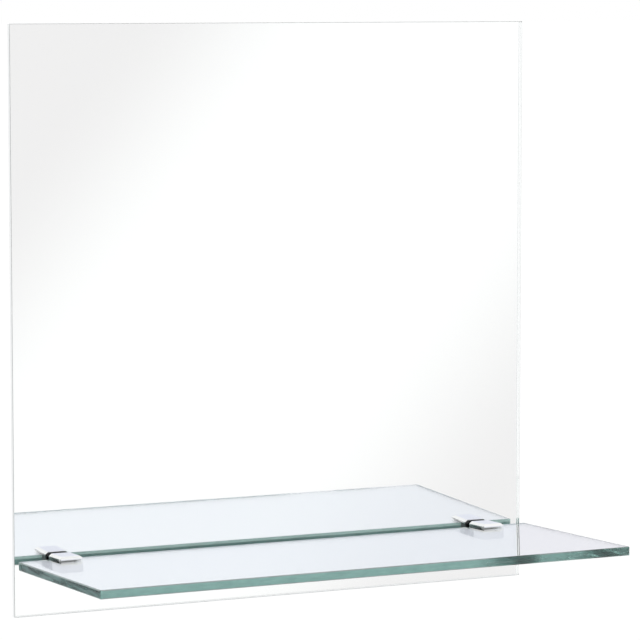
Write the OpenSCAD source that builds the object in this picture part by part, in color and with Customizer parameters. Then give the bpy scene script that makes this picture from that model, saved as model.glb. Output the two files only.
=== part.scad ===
// Frameless wall mirror with a clear glass shelf held by two screw clamps.
// Millimetres. X runs to the right, Y runs into the wall, Z runs up.
// The origin is midway between the two wall screws, on the face of the wall.

/* [Mirror] */
// Width of the mirror panel
mirror_w = 388; // [300:2:800]
// Height of the mirror panel
mirror_h = 400; // [300:5:1000]
// Thickness of the mirror glass
mirror_t = 4; // [3:0.5:6]
// Ground arris on the edges of the mirror glass
mirror_arris = 0.3; // [0.2:0.1:1]
// Thickness of the silver and its paint, drawn thick enough to be a solid
silver_t = 0.1; // [0.05:0.05:0.2]
// Thickness of the safety film on the back
film_t = 0.3; // [0.2:0.1:0.6]
// How far the film stops short of the edge of the glass
film_margin = 1.5; // [0.5:0.5:5]
// Distance from the wall to the back of the film
wall_gap = 6; // [5:0.5:12]

/* [Shelf] */
// How far each end of the shelf stops short of the mirror's side
shelf_inset = 0; // [0:0.5:10]
// Depth of the shelf glass, back edge to front edge
shelf_d = 150; // [80:5:200]
// Thickness of the shelf glass
shelf_t = 6; // [5:0.5:10]
// Ground arris on the edges of the shelf glass
shelf_arris = 0.7; // [0.3:0.1:1.2]
// Radius of the shelf's corners, seen from above
shelf_corner_r = 2; // [1:0.5:15]
// Height of the shelf's top back edge over the bottom of the mirror
shelf_z = 39.5; // [25:0.5:120]
// Gap between the mirror's face and the back edge of the shelf
shelf_gap = 7.3; // [7:0.1:15]
// Rise of the shelf towards its front, in degrees
shelf_tilt = 2; // [0:0.5:4]

/* [Clamps] */
// Distance from the mirror's side to the middle of each clamp
clamp_inset = 33; // [20:1:100]
// Width of a clamp
clamp_w = 17; // [15:1:30]
// How far the jaws reach over the shelf
clamp_grip = 15; // [13:0.5:25]
// Thickness of the upper jaw
upper_jaw_t = 2.4; // [2:0.1:5]
// Thickness of the lower jaw, which holds the clamp screw
lower_jaw_t = 6.5; // [6:0.5:12]
// Free height between the shelf and the lower jaw
jaw_play = 1; // [0.6:0.1:1.4]
// Free length between the back edge of the shelf and the floor of the slot
slot_back_play = 0.3; // [0.2:0.1:1]
// Width of the bevel round the top of the upper jaw
bevel_w = 2; // [1:0.1:3]
// Height of that bevel
bevel_h = 1.6; // [0.5:0.1:1.8]
// Radius of the jaws' front corners, seen from above
jaw_corner_r = 1.2; // [0.5:0.1:3]
// Radius of the lower jaw's bottom edges
jaw_round_r = 2; // [1:0.1:3]
// Radius of the hollows in the sides of the neck
waist_r = 2.8; // [2:0.1:4]
// Depth of those hollows
waist_depth = 1.5; // [0.5:0.1:2.5]
// Thickness of the gasket between clamp and mirror
gasket_t = 0.8; // [0.5:0.1:1.5]
// How far the gasket stops short of the clamp's outline
gasket_margin = 0.6; // [0.3:0.1:1.5]
// Thickness of the soft pad under the upper jaw
upper_pad_t = 0.6; // [0.4:0.1:1.2]
// How far that pad stops short of the jaw's sides
upper_pad_margin = 0.4; // [0.3:0.1:2.5]
// How far it stops short of the jaw's front
upper_pad_setback = 2.5; // [1:0.1:4]

/* [Clamp screws] */
// Thread diameter of the clamp screw
clamp_screw_d = 5; // [5:0.5:6]
// Thread pitch of the clamp screw
clamp_screw_pitch = 0.8; // [0.7:0.1:1]
// Length of the clamp screw's thread
clamp_screw_len = 5.6; // [4:0.1:8]
// Size of the hexagon socket, across its flats
clamp_screw_hex = 2.5; // [2:0.5:3]
// Depth of the hexagon socket
clamp_screw_hex_depth = 2.2; // [1.5:0.1:2.8]
// Diameter of the pin on the screw's tip
tip_d = 3; // [2:0.1:3.4]
// Length of that pin
tip_len = 0.85; // [0.5:0.05:1.2]
// Diameter of the pressure pad
pressure_pad_d = 9; // [8:0.5:12]
// Thickness of the pressure pad
pressure_pad_t = 1.6; // [1.5:0.1:2.5]
// Turns that free the shelf
loosen_turns = 2; // [1:0.5:2]

/* [Fixing screws] */
// Thread diameter of the fixing screw
fix_d = 4; // [3:0.5:5]
// Thread pitch of the fixing screw
fix_pitch = 0.7; // [0.5:0.1:0.8]
// Length of thread in the clamp
fix_engage = 3.8; // [3:0.1:4]
// Free depth of the threaded hole beyond the screw
fix_runout = 1; // [0.5:0.1:1.2]
// Diameter of the fixing screw's head
fix_head_d = 8; // [7:0.5:9]
// Height of the fixing screw's head
fix_head_h = 2.4; // [2:0.1:3]
// Diameter of the hole in the mirror
glass_hole_d = 8; // [7:0.5:10]
// Diameter of the washer behind the mirror
washer_d = 12; // [11:0.5:18]
// Thickness of that washer
washer_t = 1; // [0.6:0.1:1.5]

/* [Hanging plates] */
// Distance from the mirror's side to the middle of each hanging plate
hanger_inset = 74; // [50:1:100]
// Distance from the top of the mirror to the wall screws
hanger_drop = 70; // [40:5:150]
// Width of a hanging plate
hanger_w = 60; // [54:1:90]
// Height of a hanging plate
hanger_h = 50; // [30:1:80]
// Thickness of its sheet steel
hanger_t = 1; // [0.8:0.1:1.5]
// Width of its raised middle, outside
bridge_w = 34; // [30:1:40]
// Inside radius of the bends
bend_r = 0.8; // [0.5:0.1:1]
// Radius of the corners of the wings
wing_corner_r = 4; // [1:0.5:6]
// Length of the slot for the wall screw's head
slot_len = 22; // [12:1:24]
// Height of the slot
slot_h = 9; // [7:0.5:12]
// Thickness of the mounting tape
tape_t = 0.8; // [0.5:0.1:1.2]
// How far the tape stops short of the wing's outline
tape_margin = 1.5; // [0.5:0.5:3]

/* [Wall bumpers] */
// Diameter of a bumper where it sticks to the film
bumper_d = 16; // [14:1:24]
// Diameter of the face that touches the wall
bumper_face_d = 11; // [6:1:12]
// Height of the bumper's straight foot
bumper_foot_h = 1.5; // [0.5:0.1:2.5]
// Rounding of the bumper's edge
bumper_edge_r = 1; // [0.5:0.1:1.4]
// Distance from the mirror's side to the middle of a bumper
bumper_inset = 24; // [15:1:80]
// Height of the bumpers over the fixing screws
bumper_rise = 36; // [20:1:150]

/* [Hidden] */

LEFT = -1;
RIGHT = 1;
$fn = 48;

// Clearances
slide_play = 0.05;    // between sliding or turning faces
fit_play = 0.05;      // round a shaft that turns in its hole
loose_play = 0.1;     // round a piece that is pushed into its hole
pocket_play = 0.3;    // round the pressure pad in its pocket
over = 1;             // how far a cut runs past the face that it opens
back_spare = 3;       // how far a clamp's blank runs past its back before that is cut upright

// Layers of the panel, from the wall towards the room
film_back_y = -wall_gap;
film_front_y = film_back_y - film_t;
glass_back_y = film_front_y - silver_t;
mirror_face_y = glass_back_y - mirror_t;
gasket_face_y = mirror_face_y - gasket_t;
mirror_bottom_z = hanger_drop - mirror_h;

// The shelf, whose top back edge everything in the clamps is measured from
shelf_w = mirror_w - 2 * shelf_inset;
shelf_back_y = mirror_face_y - shelf_gap;
shelf_top_z = mirror_bottom_z + shelf_z;

// A clamp, in the sloping frame of the shelf: u forward from the shelf's back edge, v up from its top
jaw_top_v = upper_pad_t + upper_jaw_t;
lower_jaw_top_v = -(shelf_t + jaw_play);
jaw_bottom_v = lower_jaw_top_v - lower_jaw_t;
clamp_x = mirror_w / 2 - clamp_inset;
neck_back_u = -(shelf_gap + back_spare);
waist_u = -(shelf_gap - gasket_t) / 2;
screw_u = clamp_grip / 2;

// Clamp screw and pressure pad
loosen_travel = loosen_turns * clamp_screw_pitch;
pressure_pad_top_v = -(shelf_t + slide_play);
pressure_pad_bottom_v = pressure_pad_top_v - pressure_pad_t;
pocket_floor_v = pressure_pad_bottom_v - loosen_travel - loose_play;
screw_shoulder_v = pressure_pad_bottom_v - slide_play;

// Fixing screw: its axis is level, at the middle of the clamp's back
clamp_back_h = jaw_top_v - jaw_bottom_v;
fix_z = shelf_top_z + (jaw_top_v + jaw_bottom_v) / 2;
fix_head_y = film_back_y + washer_t;
fix_screw_len = fix_head_y - gasket_face_y + fix_engage;
fix_hole_depth = fix_engage + fix_runout;

// Hanging plates
hanger_x = mirror_w / 2 - hanger_inset;

// A plain shape with its edges cut at 45 degrees: w across, d along, c the cut
module cut_corner_rect(w, d, c) {
    polygon([
        [-w / 2 + c, -d / 2], [w / 2 - c, -d / 2], [w / 2, -d / 2 + c], [w / 2, d / 2 - c],
        [w / 2 - c, d / 2], [-w / 2 + c, d / 2], [-w / 2, d / 2 - c], [-w / 2, -d / 2 + c]
    ]);
}

// A rectangle with true round corners
module round_rect(w, d, r) {
    square([w - 2 * r, d], center = true);
    square([w, d - 2 * r], center = true);
    for (sx = [-1, 1], sy = [-1, 1])
        translate([sx * (w / 2 - r), sy * (d / 2 - r)]) circle(r);
}

// A glass sheet lying flat, its edges ground all round, its corners rounded
module ground_sheet(w, d, t, arris, corner_r) {
    intersection() {
        rotate([90, 0, 0])
            linear_extrude(d + 2 * over, center = true) cut_corner_rect(w, t, arris);
        rotate([90, 0, 90])
            linear_extrude(w + 2 * over, center = true) cut_corner_rect(d, t, arris);
        linear_extrude(t + 2 * over, center = true) round_rect(w, d, corner_r);
    }
}

// A plain upright sheet of the panel, its middle at the middle of the mirror
module upright_sheet(w, h, y_back, t) {
    translate([-w / 2, y_back - t, mirror_bottom_z + (mirror_h - h) / 2]) cube([w, t, h]);
}

// The holes for both fixing screws, through everything in the panel
module panel_holes() {
    for (side = [LEFT, RIGHT])
        translate([side * clamp_x, over, fix_z])
            rotate([90, 0, 0]) cylinder(d = glass_hole_d, h = over - mirror_face_y + over);
}

// The sloping frame of the shelf, its origin at the middle of the shelf's top back edge
module shelf_frame() {
    translate([0, shelf_back_y, shelf_top_z]) rotate([-shelf_tilt, 0, 0]) children();
}

// The same frame moved to one clamp
module clamp_frame(side) {
    translate([side * clamp_x, 0, 0]) shelf_frame() children();
}

// Extrudes a side view drawn as (u, v) to the width w
module side_view(w) {
    rotate([90, 0, -90]) linear_extrude(w, center = true) children();
}

// A shank with ring-shaped thread grooves, standing on z = 0 and pointing up
module threaded_shank(d, pitch, len) {
    depth = 0.6 * pitch;
    lead = 0.5 * pitch;
    turns = floor((len - 2 * lead) / pitch);
    start = len - lead - turns * pitch;
    rotate_extrude()
        polygon(concat(
            [[0, 0], [d / 2, 0]],
            [for (i = [0 : turns - 1], step = [0 : 2]) let (z = start + i * pitch)
                step == 0 ? [d / 2, z] : step == 1 ? [d / 2 - depth, z + 0.5 * pitch] : [d / 2, z + 0.9 * pitch]],
            [[d / 2, len - lead], [d / 2 - lead, len], [0, len]]
        ));
}

// ---------- the panel ----------

module mirror_glass() {
    color([0.86, 0.93, 0.91])
        difference() {
            translate([0, glass_back_y - mirror_t / 2, mirror_bottom_z + mirror_h / 2])
                rotate([90, 0, 0])
                    ground_sheet(mirror_w, mirror_h, mirror_t, mirror_arris, mirror_arris);
            panel_holes();
        }
}

module silver_coat() {
    color([0.92, 0.93, 0.94])
        difference() {
            upright_sheet(mirror_w - 2 * mirror_arris, mirror_h - 2 * mirror_arris, film_front_y, silver_t);
            panel_holes();
        }
}

module safety_film() {
    color([0.72, 0.74, 0.76])
        difference() {
            upright_sheet(mirror_w - 2 * film_margin, mirror_h - 2 * film_margin, film_back_y, film_t);
            panel_holes();
        }
}

module shelf_glass() {
    color([0.62, 0.80, 0.75])
        shelf_frame()
            translate([0, -shelf_d / 2, -shelf_t / 2])
                ground_sheet(shelf_w, shelf_d, shelf_t, shelf_arris, shelf_corner_r);
}

// ---------- the clamps ----------

// Side view of the body, without its slot: the top slopes off at the front, the bottom is rounded
module clamp_side() {
    difference() {
        translate([neck_back_u, jaw_bottom_v])
            square([clamp_grip - neck_back_u, clamp_back_h]);
        translate([clamp_grip, jaw_top_v])
            polygon([[0, -bevel_h], [over, -bevel_h], [over, over], [-bevel_w, over], [-bevel_w, 0]]);
        translate([clamp_grip - jaw_round_r, jaw_bottom_v + jaw_round_r])
            difference() {
                translate([0, -jaw_round_r - over]) square([jaw_round_r + over, jaw_round_r + over]);
                circle(jaw_round_r);
            }
    }
}

// Front view of the body, or of the same outline a little smaller: bevelled at the top, rounded at the bottom
module clamp_front(smaller = 0) {
    half = clamp_w / 2 - smaller;
    bottom = jaw_bottom_v + smaller;
    round_r = max(jaw_round_r - smaller, 0.3);
    bevel_len = norm([bevel_w, bevel_h]);
    bevel_foot = jaw_top_v - bevel_h - smaller * (bevel_len - bevel_h) / bevel_w;
    bevel_head = clamp_w / 2 - bevel_w - smaller * (bevel_len - bevel_w) / bevel_h;
    polygon([
        [-half, bottom + round_r], [half, bottom + round_r],
        [half, bevel_foot], [bevel_head, jaw_top_v - smaller],
        [-bevel_head, jaw_top_v - smaller], [-half, bevel_foot]
    ]);
    translate([round_r - half, bottom])
        square([2 * (half - round_r), round_r + over]);
    for (side = [LEFT, RIGHT])
        translate([side * (half - round_r), bottom + round_r]) circle(round_r);
}

// Seen from above: round front corners
module clamp_plan() {
    translate([0, (-clamp_grip - neck_back_u) / 2])
        round_rect(clamp_w, clamp_grip - neck_back_u, jaw_corner_r);
}

// The slot for the glass, with a small radius in its floor
module glass_slot() {
    floor_r = 0.5;
    slot_v0 = lower_jaw_top_v;
    slot_v1 = upper_pad_t;
    translate([floor_r - slot_back_play, slot_v0])
        square([clamp_grip + slot_back_play + over, slot_v1 - slot_v0]);
    translate([-slot_back_play, slot_v0 + floor_r])
        square([clamp_grip + slot_back_play + over, slot_v1 - slot_v0 - 2 * floor_r]);
    for (v = [slot_v0 + floor_r, slot_v1 - floor_r])
        translate([floor_r - slot_back_play, v]) circle(floor_r);
}

// The whole outside of a clamp, still without its back cut off
module clamp_blank() {
    intersection() {
        side_view(clamp_w + 2 * over) clamp_side();
        translate([0, -neck_back_u + over, 0])
            rotate([90, 0, 0]) linear_extrude(clamp_grip - neck_back_u + 2 * over) clamp_front();
        translate([0, 0, jaw_bottom_v - over]) linear_extrude(clamp_back_h + 2 * over) clamp_plan();
    }
}

module clamp_body(side) {
    reach = 2 * (clamp_grip + shelf_gap);
    color([0.83, 0.84, 0.86])
        difference() {
            intersection() {
                clamp_frame(side)
                    difference() {
                        clamp_blank();
                        side_view(clamp_w + 2 * over) glass_slot();
                        // hollows in the sides of the neck, under the upper jaw
                        for (s = [-1, 1])
                            translate([s * (clamp_w / 2 + waist_r - waist_depth), -waist_u, jaw_bottom_v - over])
                                cylinder(r = waist_r, h = over - jaw_bottom_v);
                        // pocket for the pressure pad, and the threaded hole under it
                        translate([0, -screw_u, pocket_floor_v])
                            cylinder(d = pressure_pad_d + 2 * pocket_play, h = lower_jaw_top_v - pocket_floor_v + over);
                        translate([0, -screw_u, jaw_bottom_v - over])
                            cylinder(d = clamp_screw_d + 2 * fit_play, h = pocket_floor_v - jaw_bottom_v + 2 * over);
                    }
                // the back is cut upright, flat on its gasket
                translate([side * clamp_x - clamp_w, gasket_face_y - reach, fix_z - clamp_back_h])
                    cube([2 * clamp_w, reach, 2 * clamp_back_h]);
            }
            translate([side * clamp_x, gasket_face_y + over, fix_z])
                rotate([90, 0, 0]) cylinder(d = fix_d + 2 * fit_play, h = fix_hole_depth + over);
        }
}

module clamp_gasket(side) {
    color([0.12, 0.12, 0.13])
        translate([side * clamp_x, mirror_face_y, fix_z])
            rotate([90, 0, 0])
                difference() {
                    linear_extrude(gasket_t)
                        translate([0, -(jaw_top_v + jaw_bottom_v) / 2]) clamp_front(gasket_margin);
                    translate([0, 0, -over]) cylinder(d = fix_d + 4 * loose_play, h = gasket_t + 2 * over);
                }
}

module upper_pad(side) {
    pad_len = clamp_grip - upper_pad_setback - upper_pad_margin;
    color([0.20, 0.21, 0.22])
        clamp_frame(side)
            translate([0, -upper_pad_margin - pad_len / 2, slide_play])
                linear_extrude(upper_pad_t - slide_play)
                    round_rect(clamp_w - 2 * upper_pad_margin, pad_len, jaw_corner_r);
}

module pressure_pad(side) {
    edge = 0.3;
    color([0.93, 0.93, 0.91])
        clamp_frame(side)
            translate([0, -screw_u, pressure_pad_bottom_v])
                difference() {
                    rotate_extrude()
                        polygon([
                            [0, 0], [pressure_pad_d / 2 - edge, 0], [pressure_pad_d / 2, edge],
                            [pressure_pad_d / 2, pressure_pad_t - edge],
                            [pressure_pad_d / 2 - edge, pressure_pad_t], [0, pressure_pad_t]
                        ]);
                    translate([0, 0, -over]) cylinder(d = tip_d + 2 * fit_play, h = tip_len + slide_play + over);
                }
}

module clamp_screw(side) {
    color([0.70, 0.71, 0.73])
        clamp_frame(side)
            translate([0, -screw_u, screw_shoulder_v]) {
                difference() {
                    mirror([0, 0, 1]) threaded_shank(clamp_screw_d, clamp_screw_pitch, clamp_screw_len);
                    translate([0, 0, -clamp_screw_len - over])
                        cylinder(d = clamp_screw_hex / cos(30), h = clamp_screw_hex_depth + over, $fn = 6);
                }
                translate([0, 0, -0.5 * tip_len]) cylinder(d = tip_d, h = 1.5 * tip_len);
            }
}

// ---------- what holds a clamp to the mirror ----------

module fixing_screw(side) {
    recess_d = 0.55 * fix_head_d;
    recess_w = 0.14 * fix_head_d;
    recess_depth = 0.6 * fix_head_h;
    color([0.74, 0.74, 0.72])
        translate([side * clamp_x, fix_head_y, fix_z])
            rotate([-90, 0, 0]) {
                mirror([0, 0, 1]) threaded_shank(fix_d, fix_pitch, fix_screw_len);
                difference() {
                    pan_head();
                    for (turn = [0, 90])
                        rotate([0, 0, turn])
                            translate([-recess_d / 2, -recess_w / 2, fix_head_h - recess_depth])
                                cube([recess_d, recess_w, recess_depth + over]);
                }
            }
}

// The head of the fixing screw: a flat top with a round shoulder
module pan_head() {
    shoulder_r = 0.6 * fix_head_h;
    rotate_extrude() {
        square([fix_head_d / 2 - shoulder_r, fix_head_h]);
        square([fix_head_d / 2, fix_head_h - shoulder_r]);
        translate([fix_head_d / 2 - shoulder_r, fix_head_h - shoulder_r])
            intersection() {
                circle(shoulder_r);
                square(shoulder_r);
            }
    }
}

module back_washer(side) {
    color([0.76, 0.76, 0.74])
        translate([side * clamp_x, fix_head_y, fix_z])
            rotate([90, 0, 0])
                difference() {
                    cylinder(d = washer_d, h = washer_t);
                    translate([0, 0, -over]) cylinder(d = fix_d + 4 * loose_play, h = washer_t + 2 * over);
                }
}

module hole_bush(side) {
    bush_len = film_back_y - mirror_face_y;
    color([0.95, 0.95, 0.93])
        translate([side * clamp_x, film_back_y, fix_z])
            rotate([90, 0, 0])
                difference() {
                    cylinder(d = glass_hole_d - 2 * loose_play, h = bush_len);
                    translate([0, 0, -over]) cylinder(d = fix_d + 2 * loose_play, h = bush_len + 2 * over);
                }
}

// ---------- what holds the mirror to the wall ----------

// One bend of the sheet, a quarter of a ring in the corner x > 0, y > 0
module bend() {
    intersection() {
        difference() {
            circle(bend_r + hanger_t);
            circle(bend_r);
        }
        square(bend_r + hanger_t);
    }
}

// Half of the plate's section: x out from its middle, y up from the tape
module half_section() {
    rise = wall_gap - tape_t;
    outer_r = bend_r + hanger_t;
    leg_x = bridge_w / 2;
    translate([0, rise - hanger_t]) square([leg_x - outer_r, hanger_t]);
    translate([leg_x - outer_r, rise - outer_r]) bend();
    translate([leg_x - hanger_t, outer_r]) square([hanger_t, rise - 2 * outer_r]);
    translate([leg_x + bend_r, outer_r]) rotate(180) bend();
    translate([leg_x + bend_r, 0]) square([hanger_w / 2 - leg_x - bend_r, hanger_t]);
}

module hanging_plate(side) {
    color([0.78, 0.77, 0.70])
        translate([side * hanger_x, 0, 0])
            difference() {
                intersection() {
                    translate([0, -wall_gap + tape_t, 0])
                        linear_extrude(hanger_h, center = true)
                            for (s = [0, 1]) mirror([s, 0]) half_section();
                    rotate([90, 0, 0])
                        linear_extrude(4 * wall_gap, center = true)
                            round_rect(hanger_w, hanger_h, wing_corner_r);
                }
                translate([0, over, 0])
                    rotate([90, 0, 0])
                        linear_extrude(hanger_t + 2 * over) screw_slot();
            }
}

// The slot that goes over the head of a wall screw
module screw_slot() {
    square([slot_len - slot_h, slot_h], center = true);
    for (s = [-1, 1]) translate([s * (slot_len - slot_h) / 2, 0]) circle(d = slot_h);
}

module plate_tape(side) {
    wing_in = bridge_w / 2 + bend_r;
    strip_w = hanger_w / 2 - wing_in - 2 * tape_margin;
    strip_h = hanger_h - 2 * wing_corner_r;
    color([0.30, 0.31, 0.32])
        for (s = [-1, 1])
            translate([
                side * hanger_x + s * (wing_in + hanger_w / 2) / 2 - strip_w / 2,
                film_back_y, -strip_h / 2
            ])
                cube([strip_w, tape_t, strip_h]);
}

module wall_bumper(side) {
    face_r = bumper_face_d / 2;
    shoulder_h = wall_gap - bumper_edge_r;
    color([0.80, 0.81, 0.80])
        translate([side * (mirror_w / 2 - bumper_inset), film_back_y, fix_z + bumper_rise])
            rotate([-90, 0, 0])
                rotate_extrude() {
                    polygon([
                        [0, 0], [bumper_d / 2, 0], [bumper_d / 2, bumper_foot_h],
                        [face_r + bumper_edge_r, shoulder_h], [face_r, shoulder_h],
                        [face_r, wall_gap], [0, wall_gap]
                    ]);
                    translate([face_r, shoulder_h])
                        intersection() {
                            circle(bumper_edge_r);
                            square(bumper_edge_r);
                        }
                }
}

// ---------- one module for each named piece ----------

module left_clamp_body() { clamp_body(LEFT); }
module right_clamp_body() { clamp_body(RIGHT); }
module left_clamp_gasket() { clamp_gasket(LEFT); }
module right_clamp_gasket() { clamp_gasket(RIGHT); }
module left_upper_pad() { upper_pad(LEFT); }
module right_upper_pad() { upper_pad(RIGHT); }
module left_pressure_pad() { pressure_pad(LEFT); }
module right_pressure_pad() { pressure_pad(RIGHT); }
module left_clamp_screw() { clamp_screw(LEFT); }
module right_clamp_screw() { clamp_screw(RIGHT); }
module left_fixing_screw() { fixing_screw(LEFT); }
module right_fixing_screw() { fixing_screw(RIGHT); }
module left_back_washer() { back_washer(LEFT); }
module right_back_washer() { back_washer(RIGHT); }
module left_hole_bush() { hole_bush(LEFT); }
module right_hole_bush() { hole_bush(RIGHT); }
module left_hanging_plate() { hanging_plate(LEFT); }
module right_hanging_plate() { hanging_plate(RIGHT); }
module left_plate_tape() { plate_tape(LEFT); }
module right_plate_tape() { plate_tape(RIGHT); }
module left_wall_bumper() { wall_bumper(LEFT); }
module right_wall_bumper() { wall_bumper(RIGHT); }

mirror_glass();
silver_coat();
safety_film();
shelf_glass();
left_clamp_body();
right_clamp_body();
left_clamp_gasket();
right_clamp_gasket();
left_upper_pad();
right_upper_pad();
left_pressure_pad();
right_pressure_pad();
left_clamp_screw();
right_clamp_screw();
left_fixing_screw();
right_fixing_screw();
left_back_washer();
right_back_washer();
left_hole_bush();
right_hole_bush();
left_hanging_plate();
right_hanging_plate();
left_plate_tape();
right_plate_tape();
left_wall_bumper();
right_wall_bumper();
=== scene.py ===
# %% [markdown]
# # A frameless wall mirror with a glass shelf
# This lesson dresses a finished construction model in Blender. Every piece already has its
# true shape and place, in metres: X runs to the right, Y runs into the wall and Z runs up.
# What is left is everything that the eye reads as glass, silver, chrome, rubber and zinc.

# %% Open the construction model
import math

import bmesh
import bpy
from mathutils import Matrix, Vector


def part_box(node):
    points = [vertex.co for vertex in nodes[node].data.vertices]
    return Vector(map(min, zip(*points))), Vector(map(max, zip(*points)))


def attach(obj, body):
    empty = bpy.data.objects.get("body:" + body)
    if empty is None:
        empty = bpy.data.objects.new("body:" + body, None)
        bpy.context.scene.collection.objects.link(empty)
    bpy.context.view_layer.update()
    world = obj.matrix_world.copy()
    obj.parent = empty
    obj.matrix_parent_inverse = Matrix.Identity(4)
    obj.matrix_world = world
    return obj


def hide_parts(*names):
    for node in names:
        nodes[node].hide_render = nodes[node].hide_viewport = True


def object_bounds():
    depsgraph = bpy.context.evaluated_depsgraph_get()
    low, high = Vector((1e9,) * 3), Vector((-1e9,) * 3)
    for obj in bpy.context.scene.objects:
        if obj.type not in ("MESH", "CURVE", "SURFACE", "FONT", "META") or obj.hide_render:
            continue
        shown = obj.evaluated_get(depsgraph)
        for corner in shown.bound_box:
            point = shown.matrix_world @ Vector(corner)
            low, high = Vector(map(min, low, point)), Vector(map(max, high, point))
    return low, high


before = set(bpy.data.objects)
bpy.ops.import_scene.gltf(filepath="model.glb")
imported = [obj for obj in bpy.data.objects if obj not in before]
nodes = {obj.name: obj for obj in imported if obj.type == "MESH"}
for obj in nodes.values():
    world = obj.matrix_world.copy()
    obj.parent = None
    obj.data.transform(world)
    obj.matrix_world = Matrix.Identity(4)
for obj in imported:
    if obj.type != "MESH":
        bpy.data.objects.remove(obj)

construction_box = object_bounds()
box_size = [round(1000 * s, 1) for s in construction_box[1] - construction_box[0]]
print(len(nodes), "pieces in a box of", box_size, "mm")

# %% [markdown]
# ## Where the photographer stood
# The corners of the mirror, of the shelf and of the shelf's reflection fix the camera: left of
# the mirror, level with its top, two metres away, with a long lens. A long lens keeps the
# shelf from growing towards us. The camera looks slightly down, with no shift.

# %% The camera
CAMERA_PLACE = Vector((-0.961835, -2.113749, 0.094248))
CAMERA_YAW = math.radians(25.342)
CAMERA_PITCH = math.radians(5.683)
FOCAL_PIXELS = 3345.05
PHOTO_PIXELS = 640
SENSOR = 36.0


def looking(yaw, pitch):
    """The unit vector of a line of sight. Yaw turns it to the right, and pitch turns it down."""
    return Vector((math.sin(yaw) * math.cos(pitch), math.cos(yaw) * math.cos(pitch), -math.sin(pitch)))


camera_data = bpy.data.cameras.new("photo_camera")
camera_data.sensor_width = SENSOR
camera_data.lens = FOCAL_PIXELS / PHOTO_PIXELS * SENSOR
camera_data.clip_start, camera_data.clip_end = 0.05, 200.0
camera = bpy.data.objects.new("photo_camera", camera_data)
camera.location = CAMERA_PLACE
camera.rotation_euler = looking(CAMERA_YAW, CAMERA_PITCH).to_track_quat("-Z", "Y").to_euler()
bpy.context.scene.collection.objects.link(camera)
bpy.context.scene.camera = camera
bpy.context.scene.view_settings.view_transform = "Standard"
print("lens", round(camera_data.lens, 1), "mm")

# %% [markdown]
# ## How often light may bounce
# A ray that enters the edge of a glass sheet runs along it like water in a pipe, and bounces
# between its faces many times before it comes out. Blender stops early unless it is told to
# go on, and then the edges of glass turn black.

# %% Bounces
light_paths = bpy.context.scene.cycles
light_paths.max_bounces, light_paths.glossy_bounces, light_paths.transmission_bounces = 32, 20, 24
print("bounces", light_paths.max_bounces)

# %% [markdown]
# ## Writing shaders as sums
# A finish is a small graph of nodes. Building it link by link hides the idea, so one class
# wraps an output and gives it the operators of ordinary maths: `1 - mask` adds a Math node.
# Colours never go through Math nodes, which would turn them grey; they have their own mix.

# %% One class for all shader maths
class Wire:
    """An output of a node. Operators add Math nodes, and node() adds any other kind."""

    def __init__(self, tree, socket=None):
        self.tree, self.socket = tree, socket

    def node(self, kind, settings=None, sockets=None, out=0):
        """Adds a node: first its settings, then its sockets, each a value or a Wire. Gives one output."""
        made = self.tree.nodes.new("ShaderNode" + kind)
        for name, value in (settings or {}).items():
            setattr(made, name, value)
        for name, value in (sockets or {}).items():
            if isinstance(value, Wire):
                self.tree.links.new(value.socket, made.inputs[name])
            else:
                made.inputs[name].default_value = value
        return Wire(self.tree, made.outputs[out])

    def output(self, name):
        """Another output of the same node."""
        return Wire(self.tree, self.socket.node.outputs[name])

    def maths(self, operation, *values, clamp=False):
        return self.node("Math", {"operation": operation, "use_clamp": clamp}, dict(enumerate(values)))

    def __add__(self, other):
        return self.maths("ADD", self, other)

    def __radd__(self, other):
        return self.maths("ADD", other, self)

    def __sub__(self, other):
        return self.maths("SUBTRACT", self, other)

    def __rsub__(self, other):
        return self.maths("SUBTRACT", other, self)

    def __mul__(self, other):
        return self.maths("MULTIPLY", self, other)

    def __rmul__(self, other):
        return self.maths("MULTIPLY", other, self)

    def __abs__(self):
        return self.maths("ABSOLUTE", self)

    def sine(self):
        return self.maths("SINE", self)

    def larger(self, other):
        return self.maths("MAXIMUM", self, other)

    def over(self, low, high):
        """0 below low, 1 above high, and smooth between them."""
        return self.node(
            "MapRange", {"interpolation_type": "SMOOTHSTEP"},
            {"Value": self, "From Min": low, "From Max": high, "To Min": 0.0, "To Max": 1.0})

    def mix(self, first, second):
        """A colour between two colours, with this value as the share of the second."""
        first, second = (c if isinstance(c, Wire) else (*c, 1.0) for c in (first, second))
        return self.node("Mix", {"data_type": "RGBA"}, {0: self, 6: first, 7: second}, out=2)

    def along(self, direction):
        """The part of this vector that points along a direction."""
        return self.node("VectorMath", {"operation": "DOT_PRODUCT"}, {0: self, 1: direction}, out="Value")

    def stretched(self, amounts):
        return self.node("VectorMath", {"operation": "MULTIPLY"}, {0: self, 1: amounts})

    def noise(self, scale, detail, roughness):
        """Cloudy noise at so many clouds a metre, from 0 to 1."""
        return self.node(
            "TexNoise", None,
            {"Vector": self, "Scale": scale, "Detail": detail, "Roughness": roughness}, out="Fac")

    def cells(self, scale, out="Distance"):
        """Random cells, so many a metre: the distance to a cell's middle, or each cell's own colour."""
        return self.node("TexVoronoi", None, {"Vector": self, "Scale": scale}, out=out)


print("shader maths ready")

# %% [markdown]
# ## The room that glass and chrome look at
# This object is hardly seen by its own colour: it shows its surroundings. So reflections get
# soft surroundings of their own, worked out from the direction in which a ray leaves, while
# plain light stays even and white. Cards and softboxes could stand round the object instead,
# but a colour for each direction is easier to move and casts no shadow. First the broad white
# band that the mirror holds: it leans from lower left to upper right, with a faint grey on
# either side.

# %% The white band behind the camera
BAND_YAW, BAND_DROP = math.radians(24.0), math.radians(4.5)
BAND_LEAN = 0.926
BAND_BEGINS, BAND_ENDS = (-0.068, -0.020), (0.050, 0.105)
TENT_GREY = (0.912, 0.899, 0.903)
TENT_WHITE = (1.06, 1.06, 1.06)


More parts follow.
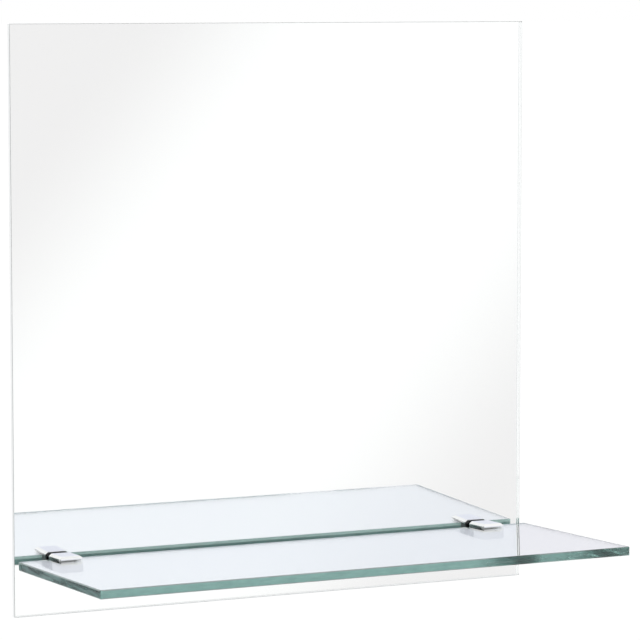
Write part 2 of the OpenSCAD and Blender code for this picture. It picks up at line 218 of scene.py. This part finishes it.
def across_band():
    """The direction across the white band: part sideways and part downwards, at the band's middle."""
    sideways = Vector((math.cos(BAND_YAW), math.sin(BAND_YAW), 0.0))
    upwards = Vector((
        math.sin(BAND_YAW) * math.sin(BAND_DROP),
        -math.cos(BAND_YAW) * math.sin(BAND_DROP),
        math.cos(BAND_DROP)))
    return math.sin(BAND_LEAN) * sideways - math.cos(BAND_LEAN) * upwards


world = bpy.data.worlds.new("studio")
bpy.context.scene.world = world
world.use_nodes = True
world.node_tree.nodes.clear()
sky = Wire(world.node_tree)
direction = sky.node("TexCoord").output("Generated")
side = direction.along(across_band())
in_band = side.over(*BAND_BEGINS) * (1 - side.over(*BAND_ENDS))
room = in_band.mix(TENT_GREY, TENT_WHITE)
print("band across", [round(c, 3) for c in across_band()])

# %% [markdown]
# ## Dark sides
# A white tent alone makes glass and chrome vanish. Photographers leave the studio dark where
# only edges can see it: behind the camera's left shoulder above the white paper, with a light
# gap between two dark flats, and in a low slot beside the wall. The glass edges then turn deep
# green and the clamps get their dark lines. Every pair of numbers below is a soft border: what
# it limits fades in from the first to the second, measured along one axis of a direction.

# %% The side behind the camera, cool above and dark on the left
COOL_LIGHT = (0.868, 0.888, 0.980)
LEFT_DARK = (0.020, 0.022, 0.026)
height = direction.along((0.0, 0.0, 1.0))
towards_wall = direction.along((0.0, 1.0, 0.0))
towards_right = direction.along((1.0, 0.0, 0.0))
room = height.over(0.015, 0.07).mix(room, COOL_LIGHT)
left_side = 1 - towards_right.over(-0.28, -0.16)
above_paper = height.over(0.0, 0.035)
light_gap = height.over(0.188, 0.198) * (1 - height.over(0.218, 0.226))
dark_flats = above_paper * (1 - light_gap)
room = left_side.mix(room, dark_flats.mix(TENT_WHITE, LEFT_DARK))
print("flats", LEFT_DARK)

# %% The wall's side, and a white ceiling over all
BACKGROUND_WHITE = (1.0, 1.0, 1.0)
WALL_GREY = (0.795, 0.780, 0.860)
BEHIND_DARK = (0.22, 0.24, 0.25)
behind = height.over(0.02, 0.06).mix(BACKGROUND_WHITE, WALL_GREY)
low_slot = height.over(-0.26, -0.22) * (1 - height.over(-0.14, -0.11))
beside_wall = left_side * towards_wall.over(0.70, 0.82)
behind = (beside_wall * low_slot).mix(behind, BEHIND_DARK)
seen = towards_wall.over(-0.12, 0.12).mix(room, behind)
seen = height.over(0.26, 0.33).mix(seen, TENT_WHITE)
print("wall", WALL_GREY, "slot", BEHIND_DARK)

# %% [markdown]
# ## Which rays see the room
# Reflected and refracted rays see those surroundings. Plain light, which falls on matt
# surfaces, comes evenly from everywhere, and the camera itself sees a clean white. One world
# can hold all three, because a Light Path node tells them apart.

# %% The world's light
PLAIN_LIGHT = (0.96, 0.96, 0.96)
path = sky.node("LightPath")
reflects = path.output("Is Glossy Ray").larger(path.output("Is Transmission Ray"))
plain = path.output("Is Camera Ray").mix(PLAIN_LIGHT, BACKGROUND_WHITE)
light = sky.node("Background", None, {"Color": reflects.mix(plain, seen), "Strength": 1.0})
world_end = world.node_tree.nodes.new("ShaderNodeOutputWorld")
world.node_tree.links.new(light.socket, world_end.inputs["Surface"])
print("world", world.name)

# %% [markdown]
# ## The floor
# The floor is a plain pale sheet below the object. Studio paper is often swept up behind the
# object in a curve, but a flat sheet that runs out of sight needs no curve. Seen directly it
# glows just enough to reach white where it is lit, and still keeps the object's soft shadow.

# %% The floor
FLOOR_Z = -0.62
HALF_FLOOR = 60.0
PAPER = (0.82, 0.82, 0.82, 1.0)
GLOW_STRENGTH, GLOW_SHARE = 1.12, 0.7
corners = [(x * HALF_FLOOR, y * HALF_FLOOR, FLOOR_Z) for x, y in ((-1, -1), (1, -1), (1, 1), (-1, 1))]
floor_mesh = bpy.data.meshes.new("floor")
floor_mesh.from_pydata(corners, [], [(0, 1, 2, 3)])
floor = bpy.data.objects.new("floor", floor_mesh)
bpy.context.scene.collection.objects.link(floor)
floor.visible_glossy = False
floor.visible_transmission = False
print("floor at", FLOOR_Z, "m")

# %% The floor's paper
floor_finish = bpy.data.materials.new("floor_paper")
floor_finish.use_nodes = True
floor_finish.node_tree.nodes.clear()
paper = Wire(floor_finish.node_tree)
lit = paper.node("BsdfDiffuse", None, {"Color": PAPER})
glow = paper.node("Emission", None, {"Color": (1.0, 1.0, 1.0, 1.0), "Strength": GLOW_STRENGTH})
glow_share = paper.node("LightPath").output("Is Camera Ray") * GLOW_SHARE
both = paper.node("MixShader", None, {0: glow_share, 1: lit, 2: glow})
paper.tree.links.new(both.socket, paper.tree.nodes.new("ShaderNodeOutputMaterial").inputs["Surface"])
floor_mesh.materials.append(floor_finish)
print(floor_finish.name, PAPER[:3])

# %% [markdown]
# ## The lamp
# A softbox hangs above and in front of the object, on the left. The world lights everything
# evenly, and the lamp only adds a direction. A small lamp would draw hard shadows, so this one
# is large, and reflections don't show it, because the room already has its lights.

# %% The lamp
LAMP_PLACE = (-0.7, -1.1, 1.7)
LAMP_AIM = Vector((0.0, 0.0, -0.15))
lamp_data = bpy.data.lights.new("overhead_softbox", "AREA")
lamp_data.shape, lamp_data.size, lamp_data.size_y = "RECTANGLE", 1.6, 1.2
lamp_data.energy = 6.0
lamp = bpy.data.objects.new("overhead_softbox", lamp_data)
lamp.location = LAMP_PLACE
lamp.rotation_euler = (LAMP_AIM - lamp.location).to_track_quat("-Z", "Y").to_euler()
lamp.visible_glossy = False
lamp.visible_transmission = False
lamp.visible_camera = False
bpy.context.scene.collection.objects.link(lamp)
print("lamp", lamp_data.energy, "W")

# %% [markdown]
# ## Starting a finish
# Every finish begins the same way: an empty material and the piece's own coordinates in
# metres. Those coordinates stay with a piece when it moves, so its grain moves with it. Four
# small helpers keep the cells that follow short.

# %% Helpers for finishes
def new_finish(name):
    """An empty material, the Wire to build it with, and the place on the piece."""
    material = bpy.data.materials.new(name)
    material.use_nodes = True
    material.node_tree.nodes.clear()
    wire = Wire(material.node_tree)
    return material, wire, wire.node("TexCoord").output("Object")


def bump(wire, height_wire, depth):
    """A Normal that stands for small relief, with depth in metres."""
    return wire.node("Bump", None, {"Height": height_wire, "Strength": 1.0, "Distance": depth}, out="Normal")


def close_finish(material, shader, volume=None):
    """Joins the last shader to the material's end, and what is inside the piece if there is anything."""
    end = material.node_tree.nodes.new("ShaderNodeOutputMaterial")
    material.node_tree.links.new(shader.socket, end.inputs["Surface"])
    if volume:
        material.node_tree.links.new(volume.socket, end.inputs["Volume"])
    return material


def dress(names, material):
    """Gives construction pieces their finish."""
    for name in names:
        nodes[name].data.materials.clear()
        nodes[name].data.materials.append(material)
    print(material.name, "on", len(names))


print("helpers ready")

# %% [markdown]
# ## Edges that are never quite sharp
# A construction model has perfect edges, and real metal doesn't: casting, stamping and
# tumbling leave a tiny round that catches a line of light. A Bevel modifier cuts it only
# where faces meet at more than some angle, and its result is kept as a mesh of its own,
# which then takes the place of the construction piece. Rounding by hand would give the same
# few faces, edge by edge.

# %% Rounding the edges of a piece
SAME_POINT = 0.000002
FLAT = math.radians(0.4)
SHARP = math.radians(32.0)


def softened(node_name, body, width, material):
    """A copy of a construction piece with its sharp edges rounded over."""
    shell = bmesh.new()
    shell.from_mesh(nodes[node_name].data)
    bmesh.ops.remove_doubles(shell, verts=shell.verts, dist=SAME_POINT)
    bmesh.ops.dissolve_limit(shell, angle_limit=FLAT, verts=shell.verts, edges=shell.edges)
    mesh = bpy.data.meshes.new(node_name + "_draft")
    shell.to_mesh(mesh)
    shell.free()
    mesh.normals_split_custom_set([(0.0, 0.0, 0.0)] * len(mesh.loops))
    mesh.shade_smooth()
    mesh.set_sharp_from_angle(angle=SHARP)
    draft = bpy.data.objects.new(node_name + "_draft", mesh)
    bpy.context.scene.collection.objects.link(draft)
    rounding = draft.modifiers.new("rounding", "BEVEL")
    rounding.width, rounding.segments, rounding.limit_method = width, 2, "ANGLE"
    rounding.angle_limit = SHARP
    rounding.use_clamp_overlap = False
    rounding.harden_normals = True
    evaluated = draft.evaluated_get(bpy.context.evaluated_depsgraph_get())
    finished = bpy.data.meshes.new_from_object(evaluated)
    finished.name = node_name + "_soft"
    bpy.data.objects.remove(draft)
    piece = bpy.data.objects.new(node_name + "_soft", finished)
    bpy.context.scene.collection.objects.link(piece)
    finished.materials.clear()
    finished.materials.append(material)
    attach(piece, body)
    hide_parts(node_name)
    print(piece.name, len(finished.polygons), "faces")


print("edges turn round at", round(math.degrees(SHARP)), "degrees")

# %% [markdown]
# ## Float glass
# Seen face on, float glass is clear. Along a sheet it is green, because iron in it takes up
# red light over a long path. That is what colours the edges, so the colour isn't painted on
# them: a volume inside the glass takes up light by the distance travelled. Part of each
# ground edge stays matt, which a second, plain shader gives through a mask. Where the light
# behind a ground face is stronger than the light on it, the face glows like a lampshade: a
# translucent shader takes a share of the matt part there. A grinding belt runs along an edge,
# so its marks are long that way and fine across the sheet.

# %% Grain that runs along an edge
def finer_across(coarse, fine, face_normal):
    """How far to stretch the place along X, Y and Z: fine across the sheet, and coarse along it."""
    return [coarse + (fine - coarse) * abs(n) for n in face_normal]


print("grain along X, Y and Z", finer_across(220.0, 2600.0, (0.0, 1.0, 0.0)))

# %% Glass with green depth
CLEAR = (1.0, 1.0, 1.0, 1.0)
GLASS_IOR = 1.52
LAMP_THROUGH_GLASS = (0.93, 0.95, 0.94, 1.0)
MOST_ABSORBED = 10.0


def float_glass(name, face_normal, absorbed, roughness, shade_colour, edge_finish):
    """Clear glass with its edges.

    absorbed is how much red, green and blue a metre of it takes up, at most MOST_ABSORBED.
    roughness is that of the edges and that of the arrises, where they are clear. shade_colour
    is the lampshade's. edge_finish gives four things for the edges: the matt share, the
    lampshade's share of it, the share of the roughness that is left, and the matt colour.
    """
    material, wire, place = new_finish(name)
    normal = wire.node("NewGeometry").output("Normal")
    facing = abs(normal.along(face_normal))
    edge = 1 - facing.over(0.93, 0.985)
    arris = edge * facing.over(0.3, 0.5)
    ends = abs(normal.along((1.0, 0.0, 0.0))).over(0.5, 0.9)
    grind = place.stretched(finer_across(220.0, 2600.0, face_normal)).noise(1.0, 4.0, 0.6)
    belt = place.stretched(finer_across(90.0, 420.0, face_normal)).noise(1.0, 3.0, 0.55)
    smear = place.noise(26.0, 3.0, 0.55).over(0.55, 0.85)
    matt_share, lampshade, rough_share, colour = edge_finish(place, grind, ends, arris)
    edge_roughness, arris_roughness = roughness
    rough_edge = edge * rough_share * (edge_roughness * (0.6 + 0.8 * grind))
    rough_face = (1 - edge) * (smear * 0.012)
    clear = wire.node(
        "BsdfPrincipled", None,
        {"Base Color": CLEAR, "IOR": GLASS_IOR, "Transmission Weight": 1.0,
         "Roughness": rough_edge + arris * arris_roughness + rough_face,
         "Normal": bump(wire, edge * grind, 0.000008)})
    ground = wire.node(
        "BsdfPrincipled", None,
        {"Base Color": colour, "Roughness": 0.38 + 0.2 * grind, "Normal": bump(wire, grind, 0.00002)})
    glowing = wire.node("BsdfTranslucent", None, {"Color": (*shade_colour, 1.0)})
    matt = wire.node("MixShader", None, {0: lampshade, 1: ground, 2: glowing})
    uneven_share = edge * matt_share * (0.7 + 0.6 * belt)
    glass = wire.node("MixShader", None, {0: uneven_share, 1: clear, 2: matt})
    lamp_rays = wire.node("LightPath").output("Is Shadow Ray")
    through = wire.node("BsdfTransparent", None, {"Color": LAMP_THROUGH_GLASS})
    surface = wire.node("MixShader", None, {0: lamp_rays, 1: glass, 2: through})
    left_over = [1.0 - a / MOST_ABSORBED for a in absorbed]
    inside = wire.node("VolumeAbsorption", None, {"Color": (*left_over, 1.0), "Density": MOST_ABSORBED})
    return close_finish(material, surface, inside)


print("glass ready")

# %% [markdown]
# ## The shelf's edges
# A grinding belt leaves the shelf's edges deep green. The short ends are painted a darker,
# streaky grey, a painted reflection of the dark room. The arrises, where the belt only just
# touched, are paler. Towards its right end the front edge is polished well enough to look
# into: the right clamp shows up there, through the whole depth of the glass. The polishing
# wheel missed a stretch, which is paler again. The back edge glows with the light from behind
# it, and its matt part is painted pale as painted light, with painted shade along its lower
# part. An image could hold all this, but a mask for each place stays sharp at any distance.

# %% Places on the shelf
SHELF_RISE = math.radians(2.0)
SHELF_UP = Vector((0.0, math.sin(SHELF_RISE), math.cos(SHELF_RISE)))
# The back edge's lower part is painted dark up to this height, as painted shade.
SHADE_BAND_HEIGHT = 0.0042
shelf_low, shelf_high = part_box("shelf_glass")
shade_line = SHELF_UP.dot(Vector((0.0, shelf_high.y, shelf_low.z))) + SHADE_BAND_HEIGHT
# The band printed here is painted shade along the back edge's lower part.
print("dust up to", round(1000 * SHADE_BAND_HEIGHT, 1), "mm above the shelf's lower face")

# %% The shelf's glass
SHELF_ABSORBS = (4.8, 2.5, 2.9)
SHELF_SHADE = (0.70, 0.92, 0.875)


def shelf_edges(place, grind, ends, arris):
    """The shelf's matt share, lampshade share, share of roughness and matt colour."""
    from_middle = place.along((1.0, 0.0, 0.0))
    polished = from_middle.over(0.072, 0.100)
    missed = from_middle.over(0.119, 0.126) * (1 - from_middle.over(0.142, 0.170))
    front = 1 - place.along((0.0, 1.0, 0.0)).over(shelf_high.y - 0.010, shelf_high.y - 0.004)
    back = place.along((0.0, 1.0, 0.0)).over(shelf_high.y - 0.0012, shelf_high.y - 0.0008)
    # Painted shade: a mask for the lower part of the back edge.
    shaded_low = back * (1 - place.along(SHELF_UP).over(shade_line - 0.0005, shade_line + 0.0005))
    green = grind.mix((0.235, 0.445, 0.410), (0.335, 0.57, 0.53))
    # Painted light: the back edge's matt colour is a pale, lit copy of the green.
    green = back.mix(green, grind.mix((0.64, 0.88, 0.83), (0.76, 0.96, 0.92)))
    # Painted shade: the lower part of the back edge is painted dark green.
    green = shaded_low.mix(green, grind.mix((0.16, 0.31, 0.29), (0.23, 0.42, 0.40)))
    # Painted reflection: the short ends are painted a darker, streaky grey for the dark room they mirror.
    streaks = place.stretched((220.0, 40.0, 520.0)).noise(1.0, 3.0, 0.6).over(0.38, 0.62)
    ends_painted_dark = streaks.mix((0.040, 0.062, 0.064), (0.145, 0.225, 0.225))
    pale = grind.mix((0.31, 0.37, 0.37), (0.43, 0.48, 0.48))
    matt_share = 0.22 + 0.44 * front * (1 - 1.34 * polished + 0.90 * missed) + 0.70 * back
    lampshade = 0.9 * back - 0.84 * shaded_low
    rough_share = 1 - 0.8 * (front * polished)
    return matt_share, lampshade, rough_share, arris.mix(ends.mix(green, ends_painted_dark), pale)


dress(["shelf_glass"], float_glass(
    "shelf_glass_finish", SHELF_UP[:], SHELF_ABSORBS, (0.05, 0.0), SHELF_SHADE, shelf_edges))

# %% [markdown]
# ## The mirror's glass
# The mirror's own edges are thin and nearly white in the photograph. They are ground matt on
# the left and at the top. The right and the lower edge are polished, and a polished edge
# mirrors the room behind the camera: that draws the dark line which the shelf's top reflects.
# The arrises all round are matt, and glow where they are seen through the glass.

# %% The mirror's glass
MIRROR_ABSORBS = (2.0, 0.8, 1.1)
MIRROR_SHADE = (0.955, 0.968, 0.968)
mirror_low, mirror_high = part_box("mirror_glass")


def mirror_edges(place, grind, ends, arris):
    """The mirror's matt share, lampshade share, share of roughness and matt colour."""
    left = 1 - place.along((1.0, 0.0, 0.0)).over(mirror_low.x + 0.0004, mirror_low.x + 0.0008)
    top = place.along((0.0, 0.0, 1.0)).over(mirror_high.z - 0.0008, mirror_high.z - 0.0004)
    ground = left.larger(top)
    matt_share = (1.3 * ground).larger(1.4 * arris)
    return matt_share, 0.9 * arris, ground, grind.mix((0.93, 0.95, 0.95), (0.98, 0.985, 0.985))


dress(["mirror_glass"], float_glass(
    "mirror_glass_finish", (0.0, 1.0, 0.0), MIRROR_ABSORBS, (0.03, 0.6), MIRROR_SHADE, mirror_edges))

# %% [markdown]
# ## Silver
# The silver is a film of metal on the back of the glass. Nothing scatters in it, so it is a
# perfect metal with hardly any colour. From behind one sees the grey paint that protects it.
# Two surfaces in one place confuse a renderer, so the silver's front is moved two hundredths
# of a millimetre into the glass.

# %% Silver behind the glass
BOND = 0.00002


def silvering():
    """Silver in front and grey paint behind."""
    material, wire, place = new_finish("silvering")
    back = wire.node("NewGeometry").output("Normal").along((0.0, 1.0, 0.0)).over(0.4, 0.8)
    cloud = place.noise(9.0, 4.0, 0.6)
    paint = cloud.mix((0.33, 0.35, 0.37), (0.38, 0.40, 0.42))
    silver = cloud.mix((0.976, 0.978, 0.974), (0.968, 0.971, 0.970))
    metal = wire.node(
        "BsdfPrincipled", None,
        {"Base Color": back.mix(silver, paint), "Metallic": 1 - back,
         "Roughness": back * (0.35 + 0.2 * cloud)})
    return close_finish(material, metal)


def coating():
    """The silver, laid a little way into the glass."""
    low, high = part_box("silver_coat")
    copy = bmesh.new()
    copy.from_mesh(nodes["silver_coat"].data)
    for vertex in copy.verts:
        if vertex.co.y < (low.y + high.y) / 2:
            vertex.co.y -= BOND
    mesh = bpy.data.meshes.new("silver_layer")
    copy.to_mesh(mesh)
    copy.free()
    layer = bpy.data.objects.new("silver_layer", mesh)
    bpy.context.scene.collection.objects.link(layer)
    mesh.materials.clear()
    mesh.materials.append(silvering())
    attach(layer, "mirror")
    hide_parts("silver_coat")
    return layer


silver_layer = coating()
print("silver", len(silver_layer.data.polygons), "faces")

# %% [markdown]
# ## The safety film
# A mirror without a frame has a plastic film on its back, which holds the pieces together if
# the glass breaks. It is woven from flat ribbons, over and under, and pressed on by a roller,
# which leaves it a little uneven. Ribbons built as meshes would be thousands of faces, so two
# sine waves make them, and the sign of their product says which one is on top.

# %% Woven film
RIBBON = 0.0021


def woven_film():
    """Flat woven ribbons. The film's cut edges have one plain colour."""
    material, wire, place = new_finish("woven_film")
    turns = math.pi / RIBBON
    warp = (place.along((1.0, 0.0, 0.0)) * turns).sine()
    weft = (place.along((0.0, 0.0, 1.0)) * turns).sine()
    on_top = (warp * weft).over(-0.15, 0.15)
    ribbons = on_top * abs(warp) + (1 - on_top) * abs(weft)
    threads = place.stretched((900.0, 100.0, 900.0)).noise(1.0, 3.0, 0.6)
    uneven = place.noise(14.0, 4.0, 0.6)
    shade = 0.45 * ribbons + 0.30 * threads + 0.35 * uneven
    face = abs(wire.node("NewGeometry").output("Normal").along((0.0, 1.0, 0.0))).over(0.4, 0.8)
    film = wire.node(
        "BsdfPrincipled", None,
        {"Base Color": face.mix((0.84, 0.86, 0.87), shade.mix((0.40, 0.43, 0.46), (0.68, 0.71, 0.73))),
         "Roughness": 0.30 + 0.25 * uneven + 0.15 * threads,
         "Normal": bump(wire, ribbons + 0.4 * threads + 3.0 * uneven, 0.00012)})
    return close_finish(material, film)


dress(["safety_film"], woven_film())

# %% [markdown]
# ## Chrome
# The clamps are zinc castings, polished and chromed. Chrome is nearly colourless and a true
# mirror, but a casting is never flat: the plating shows a faint ripple and fine wipe marks.
# Current hardly reaches into hollows, so the slot's floor and the neck behind the glass stay
# dull, and they are painted dark there as painted shade. A mask finds them by their place:
# behind the shelf's edge, under the jaw. The lower jaw, under the shelf, is painted greyer as
# painted shade, and it is a little rougher.

# %% Where the hollows are
pad_low, pad_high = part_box("left_upper_pad")
neck_start = shelf_high.y - 0.0005
neck_top = SHELF_UP.dot(Vector((0.0, pad_low.y, pad_high.z)))
print("neck starts", round(1000 * neck_start, 2), "mm from the wall's face")

# %% Chrome that thins out in the hollows, with painted shade there and under the shelf
SIDES = ("left", "right")
CAST_ROUND = 0.00012


def chrome():
    """Chrome plate on the clamps, with painted shade in the hollows and under the shelf."""
    material, wire, place = new_finish("chrome_plate")
    hollow_shade = place.along((0.0, 1.0, 0.0)).over(neck_start - 0.0001, neck_start) * (
        1 - place.along(SHELF_UP).over(neck_top - 0.0001, neck_top + 0.0001))
    ripple = place.noise(420.0, 2.0, 0.4)
    wipes = place.stretched((300.0, 2400.0, 900.0)).noise(1.0, 4.0, 0.65)
    cloud = place.noise(150.0, 3.0, 0.6)
    # Painted shade: the lower jaw under the shelf is painted greyer.
    under_shelf_shade = 1 - place.along(SHELF_UP).over(neck_top - 0.0074, neck_top - 0.0070)
    bright = cloud.mix((0.86, 0.865, 0.875), (0.90, 0.90, 0.90))
    grey_painted_shade = cloud.mix((0.60, 0.61, 0.63), (0.70, 0.71, 0.73))
    # Painted shade: the hollows are painted dark, on top of their dull plating.
    bare_painted_dark = cloud.mix((0.11, 0.14, 0.14), (0.18, 0.21, 0.21))
    metal = wire.node(
        "BsdfPrincipled", None,
        {"Base Color": hollow_shade.mix(under_shelf_shade.mix(bright, grey_painted_shade), bare_painted_dark), "Metallic": 1 - 0.8 * hollow_shade,
         "Roughness": 0.03 + 0.05 * wipes + 0.35 * hollow_shade + 0.12 * under_shelf_shade,
         "Normal": bump(wire, ripple, 0.00002)})
    return close_finish(material, metal)


chrome_plate = chrome()
for which in SIDES:
    softened(which + "_clamp_body", "mirror", CAST_ROUND, chrome_plate)

# %% [markdown]
# ## Rubber and vinyl
# A black rubber gasket keeps each clamp off the mirror, and a thin vinyl pad keeps each jaw
# off the shelf. Moulded rubber has a fine grain and picks up dust, which settles where fingers
# and cloths don't reach. Each pad is dark vinyl with painted light: its front, where light
# reaches it, is painted pale. Neither has a pattern to show, so noise in the roughness and
# the relief does most of the work.

# %% The gaskets
RUBBER_ROUND = 0.00008


def moulded_rubber():
    """Black rubber with dust in its grain."""
    material, wire, place = new_finish("moulded_rubber")
    grain = place.noise(2600.0, 3.0, 0.6)
    dust = place.noise(190.0, 4.0, 0.65).over(0.48, 0.80)
    rubber = wire.node(
        "BsdfPrincipled", None,
        {"Base Color": (0.4 * grain + 0.6 * dust).mix((0.035, 0.040, 0.041), (0.115, 0.122, 0.124)),
         "Roughness": 0.48 + 0.25 * grain + 0.15 * dust, "Normal": bump(wire, grain, 0.00005)})
    return close_finish(material, rubber)


black_rubber = moulded_rubber()
for which in SIDES:
    softened(which + "_clamp_gasket", "mirror", RUBBER_ROUND, black_rubber)

# %% The jaw pads
def vinyl_with_painted_lit_front():
    """Dark vinyl with painted light: pale along the front."""
    material, wire, place = new_finish("vinyl_with_painted_lit_front")
    grain = place.noise(3200.0, 3.0, 0.6)
    blotch = place.noise(420.0, 3.0, 0.6)
    # Painted light: the pad's front, where light falls on it, is painted pale.
    front = 1 - place.along((0.0, 1.0, 0.0)).over(pad_low.y + 0.0003, pad_low.y + 0.0012)
    dark = blotch.mix((0.060, 0.062, 0.068), (0.125, 0.128, 0.135))
    pale = blotch.mix((0.80, 0.81, 0.83), (0.90, 0.90, 0.92))
    vinyl = wire.node(
        "BsdfPrincipled", None,
        {"Base Color": front.mix(dark, pale), "Roughness": 0.35 + 0.30 * grain,
         "Normal": bump(wire, grain, 0.00004)})
    return close_finish(material, vinyl)


dress([which + "_upper_pad" for which in SIDES], vinyl_with_painted_lit_front())

# %% [markdown]
# ## Nylon
# The pressure pads under the shelf and the bushes in the glass holes are moulded from natural
# nylon: a warm white, a little cloudy, with the faint pits of the mould. Nylon lets a little
# light in, but pieces this small and this hidden don't show it, so a plain surface will do.

# %% Pressure pads and bushes
def natural_nylon():
    """Cloudy nylon with pits."""
    material, wire, place = new_finish("natural_nylon")
    cloud = place.noise(310.0, 4.0, 0.6)
    pits = place.cells(2400.0).over(0.05, 0.35)
    nylon = wire.node(
        "BsdfPrincipled", None,
        {"Base Color": (0.7 * cloud + 0.3 * pits).mix((0.74, 0.73, 0.68), (0.90, 0.89, 0.86)),
         "Roughness": 0.32 + 0.25 * cloud, "Normal": bump(wire, pits, 0.00004)})
    return close_finish(material, nylon)


dress([which + part for which in SIDES for part in ("_pressure_pad", "_hole_bush")], natural_nylon())

# %% [markdown]
# ## Screws and washers
# Screws are cut or rolled from wire and then plated: nickel, yellowish and bright, on the
# clamp screws, and zinc, bluish and duller, on the fixing screws and washers. A lathe leaves
# fine rings round the axis, which here are a noise squeezed along that axis. Both platings
# also cloud over in patches.

# %% Plated steel
WASHER_ROUND = 0.00012


def plated_steel(name, tones, dullness, squeeze):
    """Plated steel with fine turning marks. squeeze holds marks a metre along X, Y and Z."""
    material, wire, place = new_finish(name)
    rings = place.stretched(squeeze).noise(1.0, 3.0, 0.6)
    patches = place.noise(260.0, 4.0, 0.65)
    worn = place.noise(900.0, 3.0, 0.6).over(0.60, 0.75)
    steel = wire.node(
        "BsdfPrincipled", None,
        {"Base Color": (0.75 * patches + 0.35 * worn).mix(*tones), "Metallic": 1.0,
         "Roughness": dullness + 0.22 * rings + 0.16 * patches, "Normal": bump(wire, rings, 0.00003)})
    return close_finish(material, steel)


NICKEL_TONES = ((0.52, 0.49, 0.44), (0.74, 0.71, 0.66))
ZINC_TONES = ((0.34, 0.38, 0.44), (0.60, 0.63, 0.67))
nickel = plated_steel("nickel_plate", NICKEL_TONES, 0.10, (250.0, 250.0, 6000.0))
zinc = plated_steel("zinc_plate", ZINC_TONES, 0.20, (250.0, 6000.0, 250.0))
dress([which + "_clamp_screw" for which in SIDES], nickel)
dress([which + "_fixing_screw" for which in SIDES], zinc)
for which in SIDES:
    softened(which + "_back_washer", "mirror", WASHER_ROUND, zinc)

# %% [markdown]
# ## Hanging plates
# The plates that hang over the wall screws are pressed from galvanised sheet. Zinc crystals
# grow in it as spangle, each flake with a shine of its own, so every cell of a Voronoi
# pattern gets its own roughness. Handling leaves long fine scratches over it all.

# %% Galvanised sheet
PLATE_ROUND = 0.00018


def galvanised():
    """Zinc spangle with scratches."""
    material, wire, place = new_finish("galvanised_sheet")
    flake = place.cells(170.0, out="Color").along((0.4, 0.35, 0.25))
    bloom = place.noise(60.0, 4.0, 0.6)
    scratches = place.stretched((2600.0, 400.0, 45.0)).noise(1.0, 3.0, 0.6).over(0.60, 0.68)
    sheet = wire.node(
        "BsdfPrincipled", None,
        {"Base Color": (0.6 * flake + 0.4 * bloom).mix((0.42, 0.44, 0.46), (0.78, 0.80, 0.82)),
         "Metallic": 1.0,
         "Roughness": 0.26 + 0.30 * flake + 0.12 * scratches,
         "Normal": bump(wire, flake + scratches, 0.00002)})
    return close_finish(material, sheet)


sheet_zinc = galvanised()
for which in SIDES:
    softened(which + "_hanging_plate", "mirror", PLATE_ROUND, sheet_zinc)

# %% [markdown]
# ## Foam tape
# Strips of foam tape hold the plates on the film. Closed-cell foam looks like bread cut with a
# knife: small round pores of many sizes. Real holes would be far too many, so a Voronoi
# pattern gives them a tone and a depth.

# %% Tape
def foam():
    """Pale foam with cut pores."""
    material, wire, place = new_finish("foam_tape")
    pores = place.cells(1900.0).over(0.10, 0.55)
    fine = place.noise(5200.0, 2.0, 0.5)
    soiled = place.noise(80.0, 4.0, 0.6)
    tape = wire.node(
        "BsdfPrincipled", None,
        {"Base Color": (0.5 * pores + 0.3 * fine + 0.3 * soiled).mix((0.62, 0.62, 0.60), (0.86, 0.86, 0.85)),
         "Roughness": 0.78 + 0.15 * fine, "Normal": bump(wire, pores + 0.3 * fine, 0.00012)})
    return close_finish(material, tape)


dress([which + "_plate_tape" for which in SIDES], foam())

# %% [markdown]
# ## Bumpers
# The bumpers that hold the mirror's lower edge off the wall are drops of clear soft plastic.
# They let half of the light through, and dust sticks to them. Fully clear plastic would show
# the back of the mirror through it, but these have gone hazy.

# %% Soft clear plastic
BUMPER_ROUND = 0.00020


def soft_plastic():
    """Hazy clear plastic with dust."""
    material, wire, place = new_finish("soft_clear_plastic")
    haze = place.noise(130.0, 4.0, 0.6)
    dust = place.noise(1500.0, 3.0, 0.6).over(0.55, 0.80)
    plastic = wire.node(
        "BsdfPrincipled", None,
        {"Base Color": (0.8 * haze + 0.2 * dust).mix((0.66, 0.69, 0.71), (0.86, 0.88, 0.89)),
         "Roughness": 0.12 + 0.20 * haze + 0.40 * dust, "IOR": 1.49, "Transmission Weight": 0.5,
         "Normal": bump(wire, haze, 0.00010)})
    return close_finish(material, plastic)


clear_plastic = soft_plastic()
for which in SIDES:
    softened(which + "_wall_bumper", "mirror", BUMPER_ROUND, clear_plastic)
